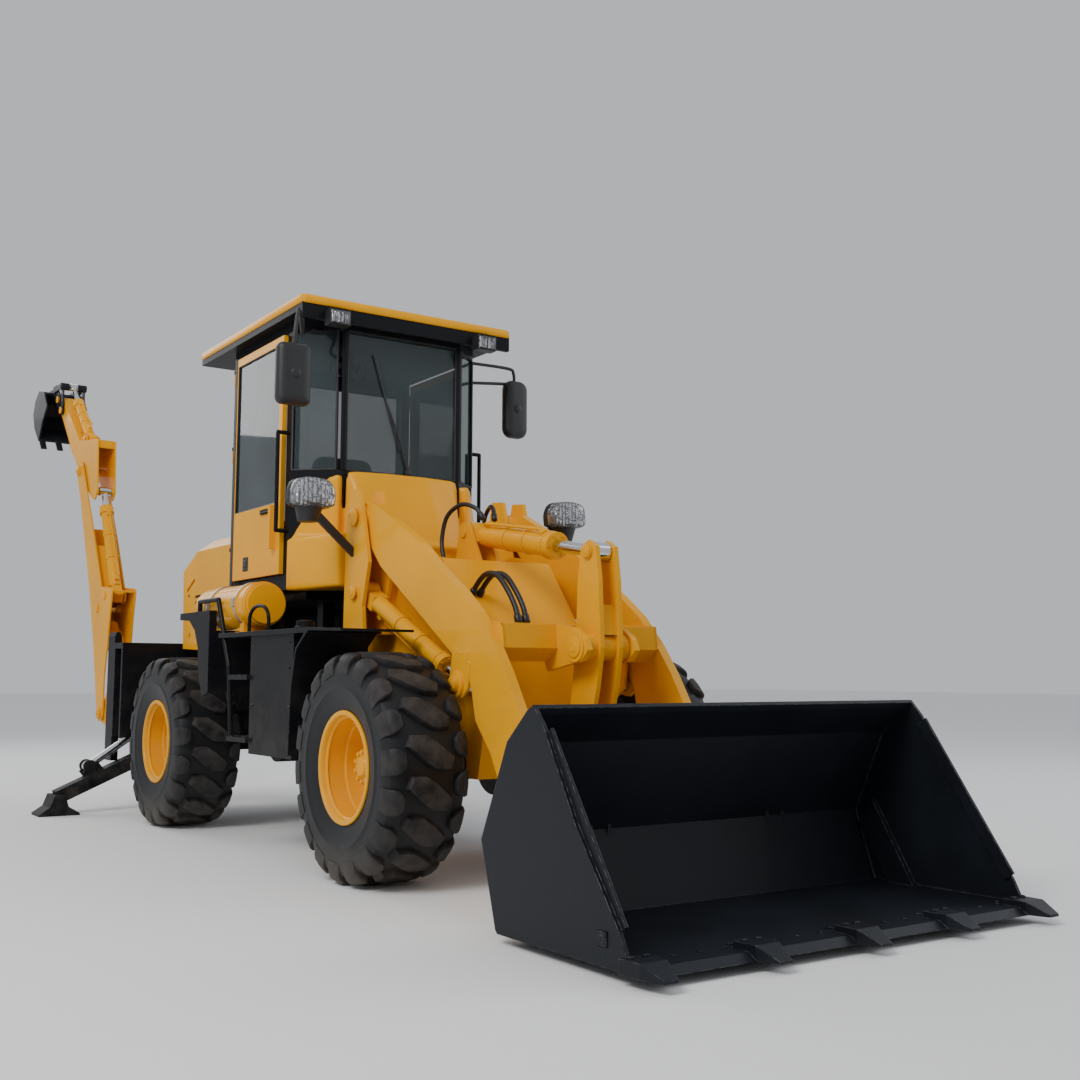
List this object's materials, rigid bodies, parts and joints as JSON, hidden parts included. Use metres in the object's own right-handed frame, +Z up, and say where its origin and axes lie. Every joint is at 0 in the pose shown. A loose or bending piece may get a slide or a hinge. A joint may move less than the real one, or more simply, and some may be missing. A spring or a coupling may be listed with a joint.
{
  "type": "backhoe loader",
  "caption": "Wheeled backhoe loader with a Z-bar loader bucket in front, a cab with two doors, rear-wheel steering, side-shift backhoe and folding stabilisers.",
  "frame": {"origin": "middle of the bounding box on the ground", "axes": "+X towards the loader bucket, +Y to the machine's left, +Z up"},
  "size_m": [8.887, 2.84, 3.5164],
  "materials": {
    "yellow_paint": "gloss",
    "black_paint": "satin",
    "dark_steel": "satin",
    "tyre": "matt",
    "glass": "tinted",
    "chrome": "polished",
    "seat": "matt",
    "black_plastic": "matt",
    "lamp": "gloss"
  },
  "bodies": {
    "machine": {"air_cleaner": "yellow_paint", "backhoe_frame": "black_paint", "cab_frame": "black_paint", "cab_glass": "glass", "cab_roof": "black_paint", "chassis_frame": "black_paint", "controls": "black_plastic", "cowl": "yellow_paint", "engine_block": "black_paint", "front_axle": "black_paint", "front_frame": "yellow_paint", "hood": "yellow_paint", "lamps": "lamp", "mirror_left": "black_plastic", "mirror_right": "black_plastic", "rear_axle": "black_paint", "roof_panel": "yellow_paint", "seat": "seat", "side_decks": "black_paint"},
    "arms": {"loader_arms": "yellow_paint"},
    "lift_barrels": {"lift_barrels": "yellow_paint"},
    "lift_rods": {"lift_rods": "chrome"},
    "bucket": {"loader_bucket": "dark_steel"},
    "crank": {"bell_crank": "yellow_paint"},
    "link": {"bucket_link": "yellow_paint"},
    "tilt_barrel": {"tilt_barrel": "yellow_paint"},
    "tilt_rod": {"tilt_rod": "chrome"},
    "door_left": {"door_left": "yellow_paint", "door_glass_left": "glass"},
    "door_right": {"door_right": "yellow_paint", "door_glass_right": "glass"},
    "knuckle_left": {"knuckle_left": "black_paint"},
    "knuckle_right": {"knuckle_right": "black_paint"},
    "carriage": {"shift_carriage": "black_paint"},
    "wheel_front_left": {"tyre_front_left": "tyre", "rim_front_left": "yellow_paint"},
    "wheel_front_right": {"tyre_front_right": "tyre", "rim_front_right": "yellow_paint"},
    "wheel_rear_left": {"tyre_rear_left": "tyre", "rim_rear_left": "yellow_paint"},
    "wheel_rear_right": {"tyre_rear_right": "tyre", "rim_rear_right": "yellow_paint"},
    "kingpost": {"kingpost": "yellow_paint"},
    "boom": {"boom": "yellow_paint"},
    "boom_barrel": {"boom_barrel": "yellow_paint"},
    "boom_rod": {"boom_rod": "chrome"},
    "dipper": {"dipper": "yellow_paint"},
    "dipper_barrel": {"dipper_barrel": "yellow_paint"},
    "dipper_rod": {"dipper_rod": "chrome"},
    "digging_bucket": {"digging_bucket": "dark_steel"},
    "rocker": {"rocker": "dark_steel"},
    "push_link": {"push_link": "dark_steel"},
    "dig_barrel": {"dig_barrel": "yellow_paint"},
    "dig_rod": {"dig_rod": "chrome"},
    "stab_leg_left": {"stab_leg_left": "black_paint"},
    "stab_barrel_left": {"stab_barrel_left": "black_paint"},
    "stab_rod_left": {"stab_rod_left": "chrome"},
    "stab_leg_right": {"stab_leg_right": "black_paint"},
    "stab_barrel_right": {"stab_barrel_right": "black_paint"},
    "stab_rod_right": {"stab_rod_right": "chrome"}
  },
  "joints": [
    {"name": "loader_lift", "type": "hinge", "parent": "machine", "child": "arms", "pos_m": [1.31853, 0, 1.809], "axis": [0, -1, 0], "range_deg": [0, 60]},
    {"name": "lift_barrel_pivot", "type": "hinge", "parent": "machine", "child": "lift_barrels", "pos_m": [1.32853, 0, 1.402], "axis": [0, -1, 0], "range_deg": [0, 61.65]},
    {"name": "lift_rod_slide", "type": "slide", "parent": "lift_barrels", "child": "lift_rods", "axis": [0.9069, 0, -0.4213], "range_m": [0, 0.41596]},
    {"name": "bucket_tilt", "type": "hinge", "parent": "arms", "child": "bucket", "pos_m": [3.28153, 0, 0.28], "axis": [0, 1, 0], "range_deg": [-38, 80]},
    {"name": "crank_pivot", "type": "hinge", "parent": "arms", "child": "crank", "pos_m": [2.81153, 0, 1.094], "axis": [0, 1, 0], "range_deg": [-20.51, 9.74]},
    {"name": "link_pivot", "type": "hinge", "parent": "crank", "child": "link", "pos_m": [2.65653, 0, 0.52], "axis": [0, 1, 0], "range_deg": [-11.3, 23.79]},
    {"name": "tilt_barrel_pivot", "type": "hinge", "parent": "machine", "child": "tilt_barrel", "pos_m": [1.67653, 0, 1.725], "axis": [0, -1, 0], "range_deg": [0, 75.61]},
    {"name": "tilt_rod_slide", "type": "slide", "parent": "tilt_barrel", "child": "tilt_rod", "axis": [0.9863, 0, -0.165], "range_m": [0, 0.20949]},
    {"name": "door_left_hinge", "type": "hinge", "parent": "machine", "child": "door_left", "pos_m": [-0.24347, 0.64, 2.25], "axis": [0, 0, 1], "range_deg": [0, 90]},
    {"name": "door_right_hinge", "type": "hinge", "parent": "machine", "child": "door_right", "pos_m": [-0.24347, -0.64, 2.25], "axis": [0, 0, -1], "range_deg": [0, 90]},
    {"name": "steering", "type": "hinge", "parent": "machine", "child": "knuckle_left", "pos_m": [-0.70947, 0.56, 0.5375], "axis": [0, 0, 1], "range_deg": [-22, 22]},
    {"name": "steering_right", "type": "hinge", "parent": "machine", "child": "knuckle_right", "pos_m": [-0.70947, -0.56, 0.5375], "axis": [0, 0, 1], "range_deg": [-22.4, 22.4]},
    {"name": "wheel_spin_front_left", "type": "hinge", "parent": "machine", "child": "wheel_front_left", "pos_m": [2.05653, 0.756, 0.5375], "axis": [0, 1, 0], "continuous": true},
    {"name": "wheel_spin_front_right", "type": "hinge", "parent": "machine", "child": "wheel_front_right", "pos_m": [2.05653, -0.756, 0.5375], "axis": [0, 1, 0], "continuous": true},
    {"name": "wheel_spin_rear_left", "type": "hinge", "parent": "knuckle_left", "child": "wheel_rear_left", "pos_m": [-0.70947, 0.756, 0.5375], "axis": [0, 1, 0], "continuous": true},
    {"name": "wheel_spin_rear_right", "type": "hinge", "parent": "knuckle_right", "child": "wheel_rear_right", "pos_m": [-0.70947, -0.756, 0.5375], "axis": [0, 1, 0], "continuous": true},
    {"name": "side_shift", "type": "slide", "parent": "machine", "child": "carriage", "axis": [0, 1, 0], "range_m": [0, 1.4]},
    {"name": "boom_swing", "type": "hinge", "parent": "carriage", "child": "kingpost", "pos_m": [-2.18347, -0.7, 0.842], "axis": [0, 0, 1], "range_deg": [-70, 70]},
    {"name": "boom_lower", "type": "hinge", "parent": "kingpost", "child": "boom", "pos_m": [-2.50317, -0.71396, 0.669], "axis": [0.0436, -0.999, 0], "range_deg": [0, 90]},
    {"name": "boom_barrel_pivot", "type": "hinge", "parent": "kingpost", "child": "boom_barrel", "pos_m": [-2.31135, -0.70558, 0.86], "axis": [0.0436, -0.999, 0], "range_deg": [0, 83.73]},
    {"name": "boom_rod_slide", "type": "slide", "parent": "boom_barrel", "child": "boom_rod", "axis": [-0.4825, -0.0211, 0.8756], "range_m": [0, 0.3796]},
    {"name": "dipper_fold", "type": "hinge", "parent": "boom", "child": "dipper", "pos_m": [-3.25545, -0.7468, 2.644], "axis": [0.0436, -0.999, 0], "range_deg": [0, 90]},
    {"name": "dipper_barrel_pivot", "type": "hinge", "parent": "boom", "child": "dipper_barrel", "pos_m": [-2.49817, -0.71374, 1.571], "axis": [0.0436, -0.999, 0], "range_deg": [-7.19, 0]},
    {"name": "dipper_rod_slide", "type": "slide", "parent": "dipper_barrel", "child": "dipper_rod", "axis": [-0.4105, -0.0179, 0.9117], "range_m": [0, 0.59064]},
    {"name": "dig_bucket_open", "type": "hinge", "parent": "dipper", "child": "digging_bucket", "pos_m": [-3.94693, -0.77699, 3.36576], "axis": [-0.0436, 0.999, 0], "range_deg": [-20, 80]},
    {"name": "rocker_pivot", "type": "hinge", "parent": "dipper", "child": "rocker", "pos_m": [-3.84682, -0.77262, 3.25404], "axis": [-0.0436, 0.999, 0], "range_deg": [-12.29, 49.14]},
    {"name": "push_link_pivot", "type": "hinge", "parent": "rocker", "child": "push_link", "pos_m": [-3.8529, -0.77289, 3.46988], "axis": [-0.0436, 0.999, 0], "range_deg": [-18.16, 4.54]},
    {"name": "dig_barrel_pivot", "type": "hinge", "parent": "dipper", "child": "dig_barrel", "pos_m": [-3.27865, -0.74782, 2.91961], "axis": [-0.0436, 0.999, 0], "range_deg": [-1.75, 6.99]},
    {"name": "dig_rod_slide", "type": "slide", "parent": "dig_barrel", "child": "dig_rod", "axis": [-0.7217, -0.0315, 0.6915], "range_m": [-0.15626, 0.03907]},
    {"name": "stab_left", "type": "hinge", "parent": "machine", "child": "stab_leg_left", "pos_m": [-1.74347, 0.5, 0.47], "axis": [1, 0, 0], "range_deg": [0, 50]},
    {"name": "stab_barrel_pivot_left", "type": "hinge", "parent": "machine", "child": "stab_barrel_left", "pos_m": [-1.74347, 0.44, 0.76], "axis": [1, 0, 0], "range_deg": [0, 40.32]},
    {"name": "stab_rod_slide_left", "type": "slide", "parent": "stab_barrel_left", "child": "stab_rod_left", "axis": [0, 0.827, -0.5621], "range_m": [-0.22468, 0]},
    {"name": "stab_right", "type": "hinge", "parent": "machine", "child": "stab_leg_right", "pos_m": [-1.74347, -0.5, 0.47], "axis": [-1, 0, 0], "range_deg": [0, 50]},
    {"name": "stab_barrel_pivot_right", "type": "hinge", "parent": "machine", "child": "stab_barrel_right", "pos_m": [-1.74347, -0.44, 0.76], "axis": [-1, 0, 0], "range_deg": [0, 40.32]},
    {"name": "stab_rod_slide_right", "type": "slide", "parent": "stab_barrel_right", "child": "stab_rod_right", "axis": [0, -0.827, -0.5621], "range_m": [-0.22468, 0]}
  ],
  "couplings": [
    {"joint": "lift_barrel_pivot", "follows": "loader_lift", "ratio": 1.0073},
    {"joint": "lift_rod_slide", "follows": "loader_lift", "m_per_rad": 0.38942},
    {"joint": "crank_pivot", "follows": "bucket_tilt", "ratio": -0.25135},
    {"joint": "link_pivot", "follows": "bucket_tilt", "ratio": 0.29151},
    {"joint": "tilt_barrel_pivot", "follows": "loader_lift", "ratio": 1.2355},
    {"joint": "tilt_rod_slide", "follows": "loader_lift", "m_per_rad": 0.19613},
    {"joint": "steering_right", "follows": "steering", "ratio": 1},
    {"joint": "boom_barrel_pivot", "follows": "boom_lower", "ratio": 0.91206},
    {"joint": "boom_rod_slide", "follows": "boom_lower", "m_per_rad": 0.23692},
    {"joint": "dipper_barrel_pivot", "follows": "dipper_fold", "ratio": -0.078323},
    {"joint": "dipper_rod_slide", "follows": "dipper_fold", "m_per_rad": 0.36864},
    {"joint": "rocker_pivot", "follows": "dig_bucket_open", "ratio": 0.6022},
    {"joint": "push_link_pivot", "follows": "dig_bucket_open", "ratio": -0.22259},
    {"joint": "dig_barrel_pivot", "follows": "dig_bucket_open", "ratio": 0.085655},
    {"joint": "dig_rod_slide", "follows": "dig_bucket_open", "m_per_rad": -0.10972},
    {"joint": "stab_barrel_pivot_left", "follows": "stab_left", "ratio": 0.79054},
    {"joint": "stab_rod_slide_left", "follows": "stab_left", "m_per_rad": -0.25241},
    {"joint": "stab_barrel_pivot_right", "follows": "stab_right", "ratio": 0.79054},
    {"joint": "stab_rod_slide_right", "follows": "stab_right", "m_per_rad": -0.25241}
  ]
}
